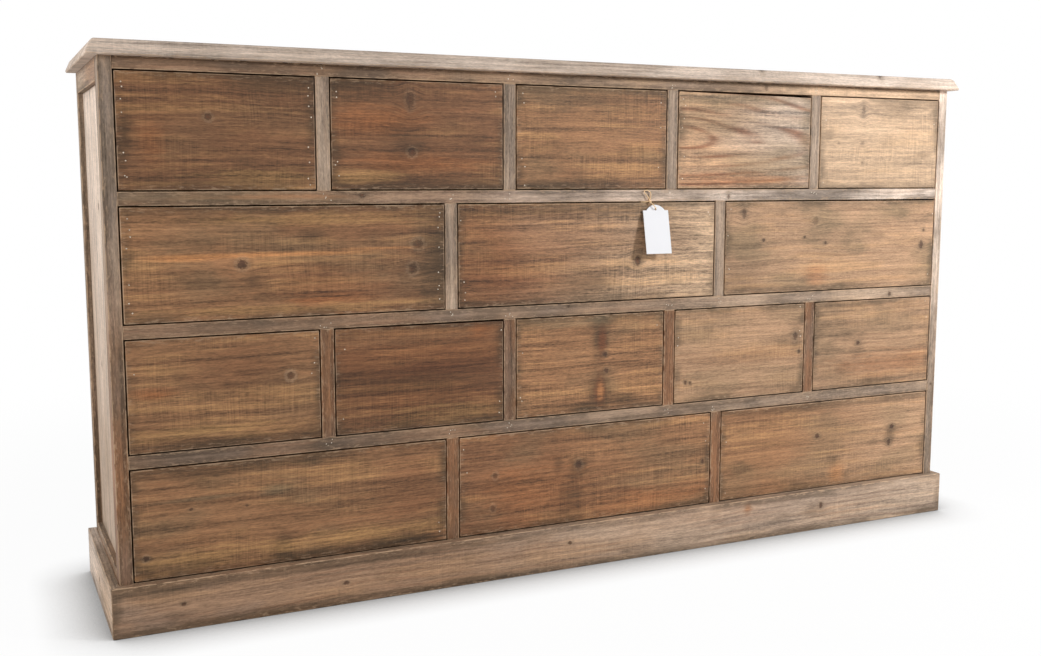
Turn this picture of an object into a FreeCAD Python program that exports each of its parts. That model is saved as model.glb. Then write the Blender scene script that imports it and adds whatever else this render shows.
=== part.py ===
import FreeCAD, Part
import math
import os
import re

# Low, wide storage chest with sixteen inset drawers in a brickwork pattern.
# Frame: millimetres, +Z up, +X to the right of someone facing the drawers, drawers on the -Y side.
# The origin is on the floor, midway across and midway from the front to the back of the whole chest.

# Every size that can be set by itself: alias in the sheet, value in millimetres (tilt in degrees).
SIZES = {
    "carcass_width": 1800, "carcass_depth": 375,
    "stile_width": 22, "muntin_width": 24, "rail_height": 23, "top_rail_height": 21,
    "frame_depth": 40, "back_post_depth": 26, "edge_ease": 1.2,
    "opening_height": 196, "bottom_rail_height": 30,
    "plinth_height": 88, "plinth_thickness": 16,
    "top_thickness": 25, "top_overhang": 18, "top_chamfer": 12, "top_front_plank": 205, "plank_gap": 0.4,
    "side_rail_height": 38, "side_rail_show": 15, "side_panel_recess": 9, "side_panel_thickness": 10,
    "panel_fit": 0.3,
    "back_board_thickness": 10, "back_board_gap": 1, "back_rail_depth": 24,
    "runner_ledge": 20, "runner_height": 20, "guide_height": 20,
    "front_thickness": 20, "front_gap": 2.5, "front_ease": 1.6,
    "box_back_gap": 35, "box_side": 12, "box_bottom": 6, "box_side_gap": 3, "box_run": 0.5, "box_headroom": 14,
    "tag_width": 58, "tag_height": 98, "tag_card": 0.8, "tag_dome_width": 42, "tag_dome_rise": 11,
    "tag_hole_radius": 2.2, "tag_hole_drop": 9, "tag_centre_x": 139.5, "tag_drop": 7, "tag_stand_off": 0.4,
    "tag_tilt": 11, "twine_diameter": 2.2,
}

# Drawers in each row, top row first, and the drawers that stand proud of the frame, in millimetres.
ROWS = (5, 3, 5, 3)
PROUD = {(2, 1): 2.0, (4, 1): 1.5, (1, 4): 1.0}
TAG_DRAWER = (2, 2)
BACK_BOARDS = 9

doc = FreeCAD.newDocument("DrawerChest")
sheet = doc.addObject("Spreadsheet::Sheet", "Sizes")
for line, (alias, value) in enumerate(SIZES.items(), start=1):
    sheet.set(f"A{line}", alias)
    sheet.set(f"B{line}", str(value))
    sheet.setAlias(f"B{line}", alias)
doc.recompute()

ALIAS = re.compile(r"\b(" + "|".join(SIZES) + r")\b")
parts = []


def bind(obj, **expressions):
    """Bind properties to expressions written with the sheet's aliases; '_' in a name stands for '.'."""
    for name, text in expressions.items():
        obj.setExpression(name.replace("_", "."), ALIAS.sub(r"Sizes.\1", str(text)))


def place(obj, corner):
    """Put an object's origin at a corner given as three expressions."""
    bind(obj, Placement_Base_x=corner[0], Placement_Base_y=corner[1], Placement_Base_z=corner[2])


def block(name, corner, size):
    """A plain board: Part::Box with its low corner and its size along X, Y and Z."""
    box = doc.addObject("Part::Box", name)
    bind(box, Length=size[0], Width=size[1], Height=size[2])
    place(box, corner)
    return box


def edges_where(shape, test):
    """Names of the straight edges whose midpoint, relative to the shape's own box, passes the test."""
    low = shape.BoundBox
    names = []
    for index, edge in enumerate(shape.Edges, start=1):
        mid = edge.CenterOfMass
        x, y, z = mid.x - low.XMin, mid.y - low.YMin, mid.z - low.ZMin
        if test(x / low.XLength, y / low.YLength, z / low.ZLength):
            names.append(f"Edge{index}")
    return names


def eased_board(name, corner, size, ease, test):
    """A board whose chosen edges are chamfered: a body with a box and one chamfer."""
    body = doc.addObject("PartDesign::Body", name)
    box = doc.addObject("PartDesign::AdditiveBox", name + "_stock")
    body.addObject(box)
    bind(box, Length=size[0], Width=size[1], Height=size[2])
    doc.recompute()
    chamfer = doc.addObject("PartDesign::Chamfer", name + "_ease")
    body.addObject(chamfer)
    chamfer.Base = (box, edges_where(box.Shape, test))
    bind(chamfer, Size=ease)
    body.Tip = chamfer
    place(body, corner)
    return body


def front_edges(x, y, z):
    return y < 0.01


def face_board(name, corner, size):
    """A member of the face frame, its front edges eased."""
    return eased_board(name, corner, size, "edge_ease", front_edges)


def node(label, *pieces):
    """Register one sub-part: a single object, or a group of separate solids."""
    if len(pieces) == 1:
        part = pieces[0]
    else:
        part = doc.addObject("Part::Compound", label + "_group")
        part.Links = list(pieces)
    part.Label = label
    parts.append(part)
    return part


# Lines that several pieces share, as expressions.
FRONT = "(top_overhang / 2 - carcass_depth / 2)"
BACK = f"({FRONT} + carcass_depth)"
LEFT = "(-carcass_width / 2)"
CARCASS_TOP = f"(plinth_height + {len(ROWS)} * opening_height + {len(ROWS) - 1} * rail_height + top_rail_height)"
INNER_WIDTH = "(carcass_width - 2 * stile_width)"
RAIL_BACK = f"({FRONT} + frame_depth)"
BACK_RAIL_FRONT = f"({BACK} - back_board_thickness - back_rail_depth)"
PANEL_INNER = "(side_panel_recess + side_panel_thickness)"
BOTTOM_RAIL_BASE = "(plinth_height - bottom_rail_height)"


def opening_width(row):
    count = ROWS[row - 1]
    return f"(({INNER_WIDTH} - {count - 1} * muntin_width) / {count})"


def opening_left(row, column):
    return f"({LEFT} + stile_width + {column - 1} * ({opening_width(row)} + muntin_width))"


def opening_floor(row):
    return f"(plinth_height + {len(ROWS) - row} * (opening_height + rail_height))"


def muntin_left(row, gap):
    """Left side of the muntin that follows the given opening."""
    return f"({opening_left(row, gap + 1)} - muntin_width)"


# Corner posts: they stand on the floor and carry the whole chest.
for side, post_x in (("left", LEFT), ("right", "(carcass_width / 2 - stile_width)")):
    node(f"post_front_{side}",
         face_board(f"PostFront{side}", (post_x, FRONT, 0), ("stile_width", "frame_depth", CARCASS_TOP)))
    node(f"post_back_{side}",
         block(f"PostBack{side}", (post_x, f"{BACK} - back_post_depth", 0),
               ("stile_width", "back_post_depth", CARCASS_TOP)))

# Rails of the face frame, from post to post.
RAIL_X = f"({LEFT} + stile_width)"
node("rail_top", face_board("RailTop", (RAIL_X, FRONT, f"{CARCASS_TOP} - top_rail_height"),
                            (INNER_WIDTH, "frame_depth", "top_rail_height")))
for row, label in ((1, "rail_upper"), (2, "rail_middle"), (3, "rail_lower")):
    node(label, face_board(label + "_body", (RAIL_X, FRONT, f"{opening_floor(row)} - rail_height"),
                           (INNER_WIDTH, "frame_depth", "rail_height")))
node("rail_bottom", face_board("RailBottom", (RAIL_X, FRONT, BOTTOM_RAIL_BASE),
                               (INNER_WIDTH, "frame_depth", "bottom_rail_height")))

# Muntins between the drawers of a row.
for row, count in enumerate(ROWS, start=1):
    muntins = [face_board(f"Muntin_{row}_{gap}", (muntin_left(row, gap), FRONT, opening_floor(row)),
                          ("muntin_width", "frame_depth", "opening_height")) for gap in range(1, count)]
    node(f"muntins_row_{row}", *muntins)

# Framed side walls: a top and a bottom rail between the posts, and a recessed panel.
SIDE_SPAN = "(carcass_depth - frame_depth - back_post_depth)"
SIDE_BOTTOM_TOP = "(plinth_height + side_rail_show)"
for side, rail_x, panel_x in (("left", LEFT, f"({LEFT} + side_panel_recess)"),
                              ("right", "(carcass_width / 2 - stile_width)",
                               f"(carcass_width / 2 - {PANEL_INNER})")):
    top_rail = block(f"SideTopRail{side}", (rail_x, RAIL_BACK, f"{CARCASS_TOP} - side_rail_height"),
                     ("stile_width", SIDE_SPAN, "side_rail_height"))
    low_rail = block(f"SideLowRail{side}", (rail_x, RAIL_BACK, BOTTOM_RAIL_BASE),
                     ("stile_width", SIDE_SPAN, f"{SIDE_BOTTOM_TOP} - {BOTTOM_RAIL_BASE}"))
    node(f"side_rails_{side}", top_rail, low_rail)
    node(f"side_panel_{side}",
         block(f"SidePanel{side}", (panel_x, f"{RAIL_BACK} + panel_fit", f"{SIDE_BOTTOM_TOP} + panel_fit"),
               ("side_panel_thickness", f"{SIDE_SPAN} - 2 * panel_fit",
                f"{CARCASS_TOP} - side_rail_height - {SIDE_BOTTOM_TOP} - 2 * panel_fit")))

# Back: a rail behind every row, and upright boards nailed to them.
BACK_RAIL_TOPS = [CARCASS_TOP] + [opening_floor(row) for row in range(1, len(ROWS) + 1)]
node("back_rails", *[block(f"BackRail_{index}", (RAIL_X, BACK_RAIL_FRONT, f"{top} - rail_height"),
                           (INNER_WIDTH, "back_rail_depth", "rail_height"))
                     for index, top in enumerate(BACK_RAIL_TOPS)])
BACK_BOARD = f"(({INNER_WIDTH} - {BACK_BOARDS - 1} * back_board_gap) / {BACK_BOARDS})"
node("back_boards", *[block(f"BackBoard_{index}",
                            (f"{RAIL_X} + {index} * ({BACK_BOARD} + back_board_gap)",
                             f"{BACK} - back_board_thickness", BOTTOM_RAIL_BASE),
                            (BACK_BOARD, "back_board_thickness", f"{CARCASS_TOP} - {BOTTOM_RAIL_BASE}"))
                      for index in range(BACK_BOARDS)])

# Runners carry the drawers from the front rails to the back rails; guides keep them straight.
RUN = f"({BACK_RAIL_FRONT} - {RAIL_BACK})"
runners = []
guides = []
for row, count in enumerate(ROWS, start=1):
    runner_z = f"{opening_floor(row)} - runner_height"
    for index, end_x in enumerate((RAIL_X, "(carcass_width / 2 - stile_width - runner_ledge)")):
        runners.append(block(f"EndRunner_{row}_{index}", (end_x, RAIL_BACK, runner_z),
                             ("runner_ledge", RUN, "runner_height")))
    for gap in range(1, count):
        runner_x = f"{muntin_left(row, gap)} - runner_ledge"
        runners.append(block(f"Runner_{row}_{gap}", (runner_x, RAIL_BACK, runner_z),
                             ("muntin_width + 2 * runner_ledge", RUN, "runner_height")))
        guides.append(block(f"Guide_{row}_{gap}", (muntin_left(row, gap), RAIL_BACK, opening_floor(row)),
                            ("muntin_width", RUN, "guide_height")))
node("drawer_runners", *runners)
node("drawer_guides", *guides)

# Plinth: three boards round the foot of the posts, mitred at the front corners.
front_plinth = doc.addObject("Part::Wedge", "PlinthFront")
bind(front_plinth, Xmin=f"{LEFT} - plinth_thickness", Xmax="carcass_width / 2 + plinth_thickness",
     X2min=LEFT, X2max="carcass_width / 2", Ymin=0, Ymax="plinth_thickness",
     Zmin=0, Zmax="plinth_height", Z2min=0, Z2max="plinth_height")
place(front_plinth, (0, f"{FRONT} - plinth_thickness", 0))
node("plinth_front", front_plinth)
for side, wall_x, low_y, high_y, near_low, near_high in (
        ("left", LEFT, "0", "plinth_thickness", "0", "-plinth_thickness"),
        ("right", "(carcass_width / 2)", "-plinth_thickness", "0", "-plinth_thickness", "0")):
    # The wedge lies along its own X and is turned a quarter about Z, so its X runs to the back.
    wedge = doc.addObject("Part::Wedge", f"Plinth_{side}")
    bind(wedge, Xmin=near_low, X2min=near_high, Xmax="carcass_depth", X2max="carcass_depth",
         Ymin=low_y, Ymax=high_y, Zmin=0, Zmax="plinth_height", Z2min=0, Z2max="plinth_height")
    wedge.Placement.Rotation = FreeCAD.Rotation(FreeCAD.Vector(0, 0, 1), 90)
    place(wedge, (wall_x, FRONT, 0))
    node(f"plinth_{side}", wedge)

# Top: two planks, chamfered along the outer upper edges.
TOP_X = f"({LEFT} - top_overhang)"
TOP_WIDTH = "(carcass_width + 2 * top_overhang)"


def front_plank_edges(x, y, z):
    return z > 0.99 and (y < 0.01 or x < 0.01 or x > 0.99)


def back_plank_edges(x, y, z):
    return z > 0.99 and (x < 0.01 or x > 0.99)


node("top_plank_front",
     eased_board("TopFront", (TOP_X, f"{FRONT} - top_overhang", CARCASS_TOP),
                 (TOP_WIDTH, "top_front_plank", "top_thickness"), "top_chamfer", front_plank_edges))
node("top_plank_back",
     eased_board("TopBack", (TOP_X, f"{FRONT} - top_overhang + top_front_plank + plank_gap", CARCASS_TOP),
                 (TOP_WIDTH, "carcass_depth + top_overhang - top_front_plank - plank_gap", "top_thickness"),
                 "top_chamfer", back_plank_edges))


def drawer(row, column):
    """One drawer: a thick front, and behind it a box of two sides, a back and a nailed-on bottom."""
    name = f"drawer_{row}_{column}"
    face_y = f"({FRONT} - {PROUD.get((row, column), 0)})"
    left, floor, width = opening_left(row, column), opening_floor(row), opening_width(row)
    node(f"{name}_front",
         eased_board(f"Front_{row}_{column}", (f"{left} + front_gap", face_y, f"{floor} + front_gap"),
                     (f"{width} - 2 * front_gap", "front_thickness", "opening_height - 2 * front_gap"),
                     "front_ease", front_edges))
    box_x, box_y, box_z = f"({left} + box_side_gap)", f"({face_y} + front_thickness)", f"({floor} + box_run)"
    box_width = f"({width} - 2 * box_side_gap)"
    depth = "(carcass_depth - back_board_thickness - box_back_gap - front_thickness)"
    wall_z, wall = f"({box_z} + box_bottom)", "(opening_height - box_run - box_bottom - box_headroom)"
    node(f"{name}_box",
         block(f"Bottom_{row}_{column}", (box_x, box_y, box_z), (box_width, depth, "box_bottom")),
         block(f"SideLeft_{row}_{column}", (box_x, box_y, wall_z), ("box_side", depth, wall)),
         block(f"SideRight_{row}_{column}", (f"{box_x} + {box_width} - box_side", box_y, wall_z),
               ("box_side", depth, wall)),
         block(f"BoxBack_{row}_{column}", (f"{box_x} + box_side", f"{box_y} + {depth} - box_side", wall_z),
               (f"{box_width} - 2 * box_side", "box_side", wall)))


for row, count in enumerate(ROWS, start=1):
    for column in range(1, count + 1):
        drawer(row, column)

# Blank swing tag against one drawer: a card with a domed head between two shoulders, and a hole.
# It is drawn with the middle of its top edge at its origin, hanging down, and then tilted outwards.
card = block("TagCard", ("-tag_width / 2", "-tag_card", "-tag_height"),
             ("tag_width", "tag_card", "tag_height - tag_dome_rise"))
dome = doc.addObject("Part::Cylinder", "TagDome")
DOME_RADIUS = "((tag_dome_width * tag_dome_width / 4 + tag_dome_rise * tag_dome_rise) / (2 * tag_dome_rise))"
bind(dome, Radius=DOME_RADIUS, Height="tag_card")
dome.Placement.Rotation = FreeCAD.Rotation(FreeCAD.Vector(1, 0, 0), 90)
place(dome, (0, 0, f"-{DOME_RADIUS}"))
head = block("TagHead", ("-tag_dome_width / 2", "-tag_card", "-tag_dome_rise"),
             ("tag_dome_width", "tag_card", "tag_dome_rise"))
domed_head = doc.addObject("Part::Common", "TagDomedHead")
domed_head.Base, domed_head.Tool = dome, head
outline = doc.addObject("Part::Fuse", "TagOutline")
outline.Base, outline.Tool = card, domed_head
hole = doc.addObject("Part::Cylinder", "TagHole")
bind(hole, Radius="tag_hole_radius", Height="3 * tag_card")
hole.Placement.Rotation = FreeCAD.Rotation(FreeCAD.Vector(1, 0, 0), 90)
place(hole, (0, "tag_card", "-tag_hole_drop"))
tag = doc.addObject("Part::Cut", "Tag")
tag.Base, tag.Tool = outline, hole
tag.Placement.Rotation = FreeCAD.Rotation(FreeCAD.Vector(1, 0, 0), -SIZES["tag_tilt"])
place(tag, ("tag_centre_x", f"{FRONT} - tag_stand_off",
            f"{opening_floor(TAG_DRAWER[0])} + opening_height - tag_drop"))
node("swing_tag", tag)

# Twine of the tag, from the middle of the tag's top edge: out of the hole, up to the knot, on up to a
# flat loop in front of the rail, down through the knot again, and a tail into the gap below the rail.
TWINE_ROUTE = (
    (0, -1.9, -8.8), (0, -6.6, -7.9), (-4.5, -5.6, -2.6), (-12.4, -4.1, 5.8), (-19.5, -3.2, 18.5),
    (-27.2, -2.6, 24.4), (-25.2, -2.2, 28.9), (-17.8, -2.0, 29.0), (-12.3, -2.2, 25.4), (-10.8, -2.4, 20),
    (-13.4, -1.3, 6.9), (-22, -1.4, 5.85), (-31.5, 2.2, 5.75),
)
RUN_SHARE = 0.45


def rounded_route(points):
    """Straight runs joined by tangent arcs, each as large as its two runs allow; also the arcs' radii."""
    edges = []
    radii = []
    start = points[0]
    for before, corner, after in zip(points, points[1:], points[2:]):
        come, leave = corner - before, after - corner
        turn = come.getAngle(leave)
        reach = RUN_SHARE * min(come.Length, leave.Length)
        radii.append(reach / math.tan(turn / 2))
        come.normalize()
        leave.normalize()
        first, last = corner - come * reach, corner + leave * reach
        inward = leave - come
        inward.normalize()
        middle = corner + inward * radii[-1] * (1 / math.cos(turn / 2) - 1)
        edges += [Part.LineSegment(start, first).toShape(), Part.Arc(first, middle, last).toShape()]
        start = last
    edges.append(Part.LineSegment(start, points[-1]).toShape())
    return Part.Wire(edges), radii


doc.recompute()
route, radii = rounded_route([tag.Placement.Base + FreeCAD.Vector(*point) for point in TWINE_ROUTE])
twine_radius = float(sheet.get("twine_diameter")) / 2
section = Part.Wire(Part.Circle(route.Vertexes[0].Point, route.Edges[0].tangentAt(0), twine_radius).toShape())
twine = doc.addObject("Part::Feature", "TagTwine")
twine.Shape = route.makePipeShell([section], True, False)
node("tag_twine", twine)
print("twine radii", [round(radius, 1) for radius in radii], "length", round(route.Length, 1),
      "volume share", round(twine.Shape.Volume / (route.Length * math.pi * twine_radius ** 2), 4))

doc.recompute()
for obj in doc.Objects:
    if "Invalid" in obj.State or "Error" in obj.State:
        raise RuntimeError(f"{obj.Name} did not compute: {obj.State}")
for part in parts:
    if part.Shape.isNull() or not part.Shape.isValid():
        raise RuntimeError(f"{part.Label} has no valid shape")

os.makedirs("parts", exist_ok=True)
for part in parts:
    part.Shape.exportStep(f"parts/{part.Label}.step")
print(len(parts), "sub-parts written")
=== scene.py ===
import math

import bpy
import numpy as np
from bpy.props import FloatProperty, FloatVectorProperty, PointerProperty
from bpy.types import Operator, Panel, PropertyGroup
from mathutils import Euler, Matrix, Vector


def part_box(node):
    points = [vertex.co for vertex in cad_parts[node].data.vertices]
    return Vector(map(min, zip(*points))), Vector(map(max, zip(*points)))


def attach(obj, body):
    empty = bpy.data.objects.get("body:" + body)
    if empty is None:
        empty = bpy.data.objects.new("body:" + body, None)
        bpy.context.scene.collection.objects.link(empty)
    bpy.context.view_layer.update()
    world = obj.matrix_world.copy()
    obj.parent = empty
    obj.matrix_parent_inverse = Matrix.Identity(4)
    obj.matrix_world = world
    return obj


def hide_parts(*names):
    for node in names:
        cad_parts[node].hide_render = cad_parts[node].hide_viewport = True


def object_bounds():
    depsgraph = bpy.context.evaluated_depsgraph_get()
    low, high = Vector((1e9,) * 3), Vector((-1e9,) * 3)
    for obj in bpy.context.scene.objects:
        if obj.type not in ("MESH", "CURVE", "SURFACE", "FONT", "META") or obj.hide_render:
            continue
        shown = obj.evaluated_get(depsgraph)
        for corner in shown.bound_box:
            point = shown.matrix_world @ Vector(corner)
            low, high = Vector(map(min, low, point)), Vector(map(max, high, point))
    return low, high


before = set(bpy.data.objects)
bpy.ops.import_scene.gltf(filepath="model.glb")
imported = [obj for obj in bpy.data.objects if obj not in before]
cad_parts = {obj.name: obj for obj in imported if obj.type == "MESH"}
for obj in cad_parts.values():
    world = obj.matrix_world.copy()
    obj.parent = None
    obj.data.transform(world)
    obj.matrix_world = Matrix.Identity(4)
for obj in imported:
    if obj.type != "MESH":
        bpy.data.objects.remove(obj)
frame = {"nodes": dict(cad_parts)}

bl_info = {
    "name": "Reclaimed drawer chest",
    "version": (1, 0, 0),
    "blender": (4, 5, 0),
    "location": "3D View > Sidebar > Drawer chest",
    "description": "Dresses the drawer chest in worn boards, pins, twine and a studio stage",
    "category": "Object",
}

CAD_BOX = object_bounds()
ROWS = (5, 3, 5, 3)
AXES = {"x": 0, "y": 1, "z": 2}
DRAWERS = [(row, column) for row, count in enumerate(ROWS, 1) for column in range(1, count + 1)]
FACE_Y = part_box("rail_upper")[0].y
TAG_BODY = "drawer_2_2"
WHITE = (1.0, 1.0, 1.0)


def srgb(red, green, blue):
    """A colour written as 0 to 255 screen values, as the linear values Blender keeps."""
    screen = np.array((red, green, blue)) / 255
    return tuple(np.where(screen <= 0.04045, screen / 12.92, ((screen + 0.055) / 1.055) ** 2.4).tolist())


# ------------------------------------------------------------------ settings

def colour(name, description, value):
    return FloatVectorProperty(name=name, description=description, subtype="COLOR", size=3, min=0, max=1,
                               default=value)


def length(name, description, value):
    return FloatProperty(name=name, description=description, subtype="DISTANCE", unit="LENGTH", min=0,
                         precision=4, default=value)


class ChestBoards(PropertyGroup):
    front_ease: length("Front arris", "Radius worn on the edges of the drawer fronts", 0.0014)
    frame_ease: length("Frame arris", "Radius worn on the edges of rails, posts and muntins", 0.0012)
    plank_ease: length("Plank arris", "Radius worn on the edges of the plinth and the top", 0.0024)
    station: length("Station spacing", "Distance between the sections along a board", 0.012)


class ChestTones(PropertyGroup):
    honey: colour("Honey", "Waxed pine of the middle drawers", srgb(154, 112, 78))
    walnut: colour("Walnut", "Dark stained pine", srgb(134, 94, 65))
    russet: colour("Russet", "Red-brown heartwood", srgb(116, 70, 44))
    amber: colour("Amber", "Resin-rich orange flames", srgb(166, 104, 62))
    flame: colour("Flame", "Light orange resin streaks", srgb(190, 132, 84))
    gold: colour("Gold", "Golden sawn bands", srgb(180, 138, 90))
    umber: colour("Umber", "Dirt and dark smudges", srgb(64, 50, 34))
    wheat: colour("Wheat", "Lighter worn pine", srgb(176, 140, 108))
    straw: colour("Straw", "Pale worn pine", srgb(202, 170, 138))
    ash: colour("Ash", "Grey weathered veil", srgb(124, 106, 80))
    slate: colour("Slate", "Blue-grey stains of the frame", srgb(140, 124, 112))
    frame: colour("Frame", "Greyed pine of the face frame", srgb(146, 116, 92))
    mist: colour("Mist", "Paler greyed pine of posts and muntins", srgb(172, 150, 130))
    pale: colour("Pale", "Worn pine of the plinth and the top", srgb(184, 158, 134))
    side: colour("Side", "Pale pine of the side walls", srgb(222, 202, 185))
    inner: colour("Inside", "Plain unfinished pine", srgb(200, 162, 116))
    # the knot tone is also used for the painted shadow under the top's overhang along rail_top's upper edge
    knot: colour("Knot", "Heart of a knot", srgb(68, 46, 34))
    card: colour("Card", "Blank swing tag", srgb(232, 232, 235))
    jute: colour("Jute", "Twine of the tag", srgb(228, 198, 158))
    steel: colour("Pin", "Small bright pin heads", srgb(214, 202, 184))


class ChestDetails(PropertyGroup):
    pin_radius: length("Pin radius", "Radius of a pin head", 0.0013)
    pin_rise: length("Pin rise", "How far a pin head stands out", 0.00035)
    twine_diameter: length("Twine diameter", "Thickness of the tag's twine", 0.0022)
    twine_pitch: length("Twine pitch", "Length of one turn of the two plies", 0.0055)


class ChestStage(PropertyGroup):
    floor: colour("Floor", "Plain pale floor", srgb(250, 250, 250))
    key_power: FloatProperty(name="Key", description="Power of the key lamp in watts", min=0, default=78)
    fill_power: FloatProperty(name="Fill", description="Power of the fill lamp in watts", min=0, default=55)
    world_level: FloatProperty(name="World", description="Level of the plain white surroundings", min=0,
                               default=0.24)


# ------------------------------------------------------------------ shader building

class Value:
    """A shader socket that takes part in Python arithmetic; each operation adds one Math node."""

    def __init__(self, tree, socket):
        self.tree = tree
        self.socket = socket

    def __add__(self, other):
        return self.tree.maths("ADD", self, other)

    def __radd__(self, other):
        return self.tree.maths("ADD", other, self)

    def __sub__(self, other):
        return self.tree.maths("SUBTRACT", self, other)

    def __rsub__(self, other):
        return self.tree.maths("SUBTRACT", other, self)

    def __mul__(self, other):
        return self.tree.maths("MULTIPLY", self, other)

    def __truediv__(self, other):
        return self.tree.maths("DIVIDE", self, other)

    def __pow__(self, other):
        return self.tree.maths("POWER", self, other)


class Shader:
    """The node tree of a new material, or of a new world."""

    def __init__(self, name, store="materials"):
        self.owner = getattr(bpy.data, store).new(name)
        self.owner.use_nodes = True
        self.nodes, self.links = self.owner.node_tree.nodes, self.owner.node_tree.links
        self.nodes.clear()

    def add(self, kind, settings=None, inputs=None, out=0):
        """Any node: its type, its settings, then the values or links of its sockets."""
        node = self.nodes.new(kind)
        for key, setting in (settings or {}).items():
            setattr(node, key, setting)
        for key, value in (inputs or {}).items():
            if isinstance(value, Value):
                self.links.new(value.socket, node.inputs[key])
            elif isinstance(value, (tuple, list)) and node.inputs[key].type == "RGBA":
                node.inputs[key].default_value = (*value[:3], 1)
            else:
                node.inputs[key].default_value = value
        return Value(self, node.outputs[out]) if len(node.outputs) else node

    def several(self, kind, outs, inputs=None):
        """Some of the outputs of one new node."""
        sockets = self.add(kind, inputs=inputs).socket.node.outputs
        return [Value(self, sockets[out]) for out in outs]

    def object_point(self):
        return self.add("ShaderNodeTexCoord", out="Object")

    def seen(self):
        """1 for rays from the camera and for those by way of gloss or glass, or else 0."""
        return self.chain("MAXIMUM", *self.several("ShaderNodeLightPath", (
            "Is Camera Ray", "Is Glossy Ray", "Is Transmission Ray")))

    def maths(self, operation, *terms):
        return self.add("ShaderNodeMath", {"operation": operation}, dict(enumerate(terms)))

    def chain(self, operation, first, *others):
        """One operation carried over several values, such as the least of them."""
        for other in others:
            first = self.maths(operation, first, other)
        return first

    def distance(self, x, y):
        """The length of the arrow (x, y)."""
        return self.maths("SQRT", x * x + y * y)

    def smooth(self, value, start, end):
        """0 before start, 1 after end, and a smooth step between them; start may be the larger."""
        return self.add("ShaderNodeMapRange", {"interpolation_type": "SMOOTHSTEP"},
                        {"Value": value, "From Min": start, "From Max": end})

    def point(self, x=0.0, y=0.0, z=0.0):
        return self.add("ShaderNodeCombineXYZ", inputs={0: x, 1: y, 2: z})

    def noise(self, x, y, z=0.0, detail=2.0, roughness=0.5):
        """Soft noise, about 0.25 to 0.75, at the point (x, y, z) counted in noise cells."""
        return self.add("ShaderNodeTexNoise", {"noise_dimensions": "3D"},
                        {"Vector": self.point(x, y, z), "Scale": 1.0, "Detail": detail,
                         "Roughness": roughness})

    def mix(self, first, second, factor):
        """A colour mix, clamped to a factor from 0 to 1."""
        return self.add("ShaderNodeMix", {"data_type": "RGBA"}, {0: factor, 6: first, 7: second}, out=2)

    def scaled(self, tint, factor):
        """A colour made lighter or darker as a whole."""
        return self.add("ShaderNodeVectorMath", {"operation": "SCALE"}, {0: tint, "Scale": factor})

    def surface(self, base, roughness, height, depth, **fixed):
        """A Principled surface; height, about 0 to 1, feeds a Bump node that is depth metres deep."""
        bump = self.add("ShaderNodeBump", inputs={"Strength": 1.0, "Distance": depth, "Height": height})
        inputs = {"Base Color": base, "Roughness": roughness, "Normal": bump}
        inputs.update({key.replace("_", " "): value for key, value in fixed.items()})
        shader = self.add("ShaderNodeBsdfPrincipled", inputs=inputs)
        self.add("ShaderNodeOutputMaterial", inputs={"Surface": shader})
        return self.owner


def board_axes(shader, along, across, low):
    """Object coordinates as distances from a board's low corner: along the grain, across it, and deep."""
    deep = ({"x", "y", "z"} - {along, across}).pop()
    order = [AXES[axis] for axis in (along, across, deep)]
    places = shader.several("ShaderNodeSeparateXYZ", order, {0: shader.object_point()})
    return [place - low[axis] for place, axis in zip(places, order)]


# ------------------------------------------------------------------ finishes

class Knot:
    """A knot at a share of the board's length and height, with its radii in millimetres."""

    def __init__(self, u, v, wide=7, tall=7, heart=0.9, halo=0.5, red=0.5):
        self.u, self.v = u, v
        self.wide, self.tall = wide / 1000, tall / 1000
        self.heart, self.halo, self.red = heart, halo, red


class Patch:
    """A soft patch of one tone at a share of the board's length and height; its sizes are shares too."""

    def __init__(self, u, v, wide, tall, tone, strength=0.7, ragged=0.6):
        self.u, self.v, self.wide, self.tall = u, v, wide, tall
        self.tone, self.strength, self.ragged = tone, strength, ragged


class Look:
    """What makes one board differ from the next: the tones of its two ends, its knots and patches, the
    rings' spacing and the heart line's depth in millimetres, that line's height as a share and its slope,
    how strongly rings, streaks, saw marks, golden bands, haze (veil), dirt and worn edges show, the level
    of the whole colour, and the tone of the haze."""

    def __init__(self, left="honey", right=None, knots=(), patches=(), spacing=9, heart=-0.5, deep=60,
                 slope=0.0, rings=0.5, streaks=1.0, saw=0.5, gold=0.35, veil=0.35, dirt=0.8, wear=0.8,
                 level=1.0, haze="ash"):
        self.left, self.right = left, right or left
        self.knots, self.patches = knots, patches
        self.spacing, self.heart, self.deep, self.slope = spacing / 1000, heart, deep / 1000, slope
        self.rings, self.streaks, self.saw, self.gold = rings, streaks, saw, gold
        self.veil, self.dirt, self.wear, self.level, self.haze = veil, dirt, wear, level, haze


# The noises of the wood: cells per metre along and across the grain, seed, detail and roughness.
NOISES = {
    "drift": (2.6, 9, 0, 2, 0.5), "gate": (5, 30, 3, 2, 0.5), "broad": (2.2, 75, 5, 2, 0.5),
    "streak": (5, 230, 7, 3, 0.6), "fibre": (120, 620, 9, 2, 0.65), "cloud": (6, 13, 11, 3, 0.5),
    "stain": (8, 22, 13, 4, 0.62), "knot": (240, 280, 15, 3, 0.65), "comb": (400, 9, 17, 2, 0.7),
    "sawn": (5, 17, 19, 3, 0.5), "arris": (45, 45, 21, 3, 0.5), "dash": (32, 400, 23, 3, 0.65),
    "fleck": (75, 260, 27, 3, 0.65), "patch": (14, 150, 0, 4, 0.65),
}


def tone(name):
    """One of the panel's tones."""
    return tuple(getattr(bpy.context.scene.chest_tones, name))


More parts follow.
